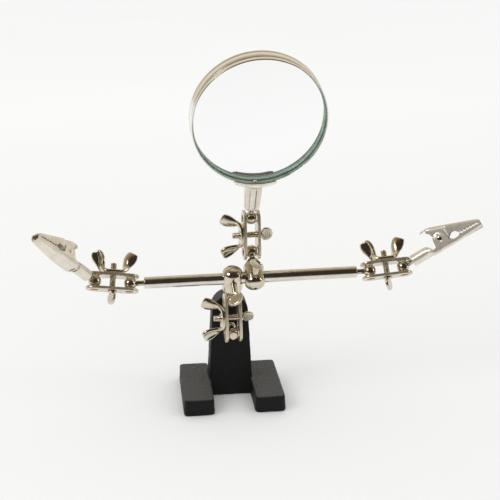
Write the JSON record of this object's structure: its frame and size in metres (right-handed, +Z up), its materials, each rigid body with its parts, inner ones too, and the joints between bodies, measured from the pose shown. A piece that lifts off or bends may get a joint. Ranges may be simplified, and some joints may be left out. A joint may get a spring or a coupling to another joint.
{
  "type": "helping hands clamp",
  "caption": "Helping hands workbench stand: cast base with a post, cross rod on ball clamps, magnifier above and an alligator clip on a ball clamp at each rod end.",
  "frame": {"origin": "floor plane under the middle of the post, on the flat underside of the base", "axes": "+Z up, +X to the right along the cross rod, -Y to the front, the side the magnifier and the thumb screws face"},
  "size_m": [0.2058, 0.0585, 0.1739],
  "materials": {
    "black_casting": "cast iron, matte black paint with a fine texture",
    "bright_nickel": "bright nickel plating on turned and stamped steel",
    "clamp_plate": "nickel-plated stamped plate, slightly dull",
    "satin_nickel": "satin nickel plating on folded sheet",
    "spring_steel": "bare spring wire",
    "lens_glass": "clear glass with a green edge"
  },
  "bodies": {
    "base": {"base_casting": "black_casting"},
    "base_stud": {"base_ball_stud": "bright_nickel"},
    "lower_clamp": {"lower_clamp_left_plate": "clamp_plate", "lower_clamp_right_plate": "clamp_plate", "lower_clamp_bolt": "bright_nickel"},
    "lower_wing_nut": {"lower_clamp_wing_nut": "bright_nickel"},
    "carrier_stud": {"carrier_ball_stud": "bright_nickel"},
    "carrier": {"carrier_barrel": "bright_nickel"},
    "carrier_thumb_screw": {"carrier_thumb_screw": "bright_nickel"},
    "rod": {"cross_rod": "bright_nickel"},
    "magnifier_slider": {"magnifier_slider_barrel": "bright_nickel"},
    "magnifier_slider_thumb_screw": {"magnifier_slider_thumb_screw": "bright_nickel"},
    "magnifier_slider_stud": {"magnifier_slider_ball_stud": "bright_nickel"},
    "upper_clamp": {"upper_clamp_left_plate": "clamp_plate", "upper_clamp_right_plate": "clamp_plate", "upper_clamp_bolt": "bright_nickel"},
    "upper_wing_nut": {"upper_clamp_wing_nut": "bright_nickel"},
    "magnifier_stud": {"magnifier_ball_stud": "bright_nickel"},
    "magnifier": {"magnifier_ferrule": "satin_nickel", "magnifier_saddle": "satin_nickel", "magnifier_rivet": "bright_nickel", "magnifier_ring": "bright_nickel", "magnifier_lens": "lens_glass"},
    "left_rod_ball": {"cross_rod_left_ball": "bright_nickel"},
    "left_clamp": {"left_clamp_top_plate": "clamp_plate", "left_clamp_bottom_plate": "clamp_plate", "left_clamp_bolt": "bright_nickel"},
    "left_wing_nut": {"left_clamp_wing_nut": "bright_nickel"},
    "left_clip_stud": {"left_clip_ball_stud": "bright_nickel"},
    "left_clip": {"left_clip_jaw": "satin_nickel", "left_clip_rivet": "bright_nickel", "left_clip_spring": "spring_steel"},
    "left_clip_lever": {"left_clip_lever": "satin_nickel"},
    "right_rod_ball": {"cross_rod_right_ball": "bright_nickel"},
    "right_clamp": {"right_clamp_top_plate": "clamp_plate", "right_clamp_bottom_plate": "clamp_plate", "right_clamp_bolt": "bright_nickel"},
    "right_wing_nut": {"right_clamp_wing_nut": "bright_nickel"},
    "right_clip_stud": {"right_clip_ball_stud": "bright_nickel"},
    "right_clip": {"right_clip_jaw": "satin_nickel", "right_clip_rivet": "bright_nickel", "right_clip_spring": "spring_steel"},
    "right_clip_lever": {"right_clip_lever": "satin_nickel"}
  },
  "joints": [
    {"name": "base_ball_roll", "type": "hinge", "parent": "base", "child": "base_stud", "pos_m": [0, -0.018, 0.0382], "axis": [0, 1, 0], "range_deg": [-20, 20]},
    {"name": "lower_clamp_pitch", "type": "hinge", "parent": "base_stud", "child": "lower_clamp", "pos_m": [0, -0.018, 0.0382], "axis": [0.9963, 0.0865, 0.0016], "range_deg": [-12, 40]},
    {"name": "lower_wing_nut_spin", "type": "hinge", "parent": "lower_clamp", "child": "lower_wing_nut", "pos_m": [-0.0001, -0.01701, 0.04629], "axis": [-0.9963, -0.0865, -0.0016], "continuous": true},
    {"name": "carrier_pitch", "type": "hinge", "parent": "lower_clamp", "child": "carrier_stud", "pos_m": [-0.0002, -0.01601, 0.05438], "axis": [0.9963, 0.0865, 0.0016], "range_deg": [-40, 40]},
    {"name": "carrier_roll", "type": "hinge", "parent": "carrier_stud", "child": "carrier", "pos_m": [-0.0002, -0.01601, 0.05438], "axis": [-0.0116, -0.309, 0.951], "range_deg": [-40, 40]},
    {"name": "carrier_thumb_screw_spin", "type": "hinge", "parent": "carrier", "child": "carrier_thumb_screw", "pos_m": [-0.00036, -0.02025, 0.06741], "axis": [0.0038, -0.9511, -0.309], "continuous": true},
    {"name": "rod_slide", "type": "slide", "parent": "carrier", "child": "rod", "axis": [0.9999, 0, 0.0122], "range_m": [0, 0.03]},
    {"name": "magnifier_slider_slide", "type": "slide", "parent": "rod", "child": "magnifier_slider", "axis": [0.9999, 0, 0.0122], "range_m": [0, 0.03]},
    {"name": "magnifier_slider_thumb_screw_spin", "type": "hinge", "parent": "magnifier_slider", "child": "magnifier_slider_thumb_screw", "pos_m": [0.00994, -0.02025, 0.06753], "axis": [-0.0088, -0.6947, 0.7193], "continuous": true},
    {"name": "magnifier_slider_roll", "type": "hinge", "parent": "magnifier_slider", "child": "magnifier_slider_stud", "pos_m": [0.00983, -0.01039, 0.07705], "axis": [-0.0085, 0.7193, 0.6946], "range_deg": [-40, 40]},
    {"name": "upper_clamp_pitch", "type": "hinge", "parent": "magnifier_slider_stud", "child": "upper_clamp", "pos_m": [0.00983, -0.01039, 0.07705], "axis": [0.9962, 0.087, 0.0064], "range_deg": [-40, 40]},
    {"name": "upper_wing_nut_spin", "type": "hinge", "parent": "upper_clamp", "child": "upper_wing_nut", "pos_m": [0.00973, -0.00985, 0.08518], "axis": [-0.9962, -0.087, -0.0064], "continuous": true},
    {"name": "magnifier_pitch", "type": "hinge", "parent": "upper_clamp", "child": "magnifier_stud", "pos_m": [0.00963, -0.00931, 0.09331], "axis": [0.9962, 0.087, 0.0064], "range_deg": [-45, 45]},
    {"name": "magnifier_roll", "type": "hinge", "parent": "magnifier_stud", "child": "magnifier", "pos_m": [0.00963, -0.00931, 0.09331], "axis": [0.0354, -0.2753, 0.9607], "range_deg": [-60, 60]},
    {"name": "left_rod_ball_roll", "type": "hinge", "parent": "rod", "child": "left_rod_ball", "pos_m": [-0.04155, -0.02025, 0.0669], "axis": [0.9999, 0, 0.0122], "range_deg": [-60, 60]},
    {"name": "left_clamp_pitch", "type": "hinge", "parent": "left_rod_ball", "child": "left_clamp", "pos_m": [-0.04795, -0.02025, 0.06682], "axis": [-0.0999, -0.543, -0.8338], "range_deg": [-50, 50]},
    {"name": "left_wing_nut_spin", "type": "hinge", "parent": "left_clamp", "child": "left_wing_nut", "pos_m": [-0.05604, -0.02025, 0.06779], "axis": [0.0999, 0.543, 0.8338], "continuous": true},
    {"name": "left_clip_pitch", "type": "hinge", "parent": "left_clamp", "child": "left_clip_stud", "pos_m": [-0.06414, -0.02025, 0.06876], "axis": [-0.0999, -0.543, -0.8338], "range_deg": [-50, 50]},
    {"name": "left_clip_roll", "type": "hinge", "parent": "left_clip_stud", "child": "left_clip", "pos_m": [-0.06414, -0.02025, 0.06876], "axis": [-0.5611, -0.4623, 0.6866], "range_deg": [-90, 90]},
    {"name": "left_clip_opening", "type": "hinge", "parent": "left_clip", "child": "left_clip_lever", "pos_m": [-0.07648, -0.02849, 0.08531], "axis": [-0.8274, 0.3362, -0.4499], "range_deg": [0, 30], "deforming": ["left_clip_spring"]},
    {"name": "right_rod_ball_roll", "type": "hinge", "parent": "rod", "child": "right_rod_ball", "pos_m": [0.05884, -0.02025, 0.06813], "axis": [0.9999, 0, 0.0122], "range_deg": [-60, 60]},
    {"name": "right_clamp_pitch", "type": "hinge", "parent": "right_rod_ball", "child": "right_clamp", "pos_m": [0.06524, -0.02025, 0.06821], "axis": [-0.0714, 0.5453, 0.8352], "range_deg": [-50, 50]},
    {"name": "right_wing_nut_spin", "type": "hinge", "parent": "right_clamp", "child": "right_wing_nut", "pos_m": [0.07336, -0.02025, 0.0689], "axis": [-0.0714, 0.5453, 0.8352], "continuous": true},
    {"name": "right_clip_pitch", "type": "hinge", "parent": "right_clamp", "child": "right_clip_stud", "pos_m": [0.08148, -0.02025, 0.0696], "axis": [-0.0714, 0.5453, 0.8352], "range_deg": [-50, 50]},
    {"name": "right_clip_roll", "type": "hinge", "parent": "right_clip_stud", "child": "right_clip", "pos_m": [0.08148, -0.02025, 0.0696], "axis": [0.7972, -0.191, 0.5727], "range_deg": [-90, 90]},
    {"name": "right_clip_opening", "type": "hinge", "parent": "right_clip", "child": "right_clip_lever", "pos_m": [0.09804, -0.02336, 0.0841], "axis": [-0.4122, -0.8653, 0.2852], "range_deg": [0, 30], "deforming": ["right_clip_spring"]}
  ]
}
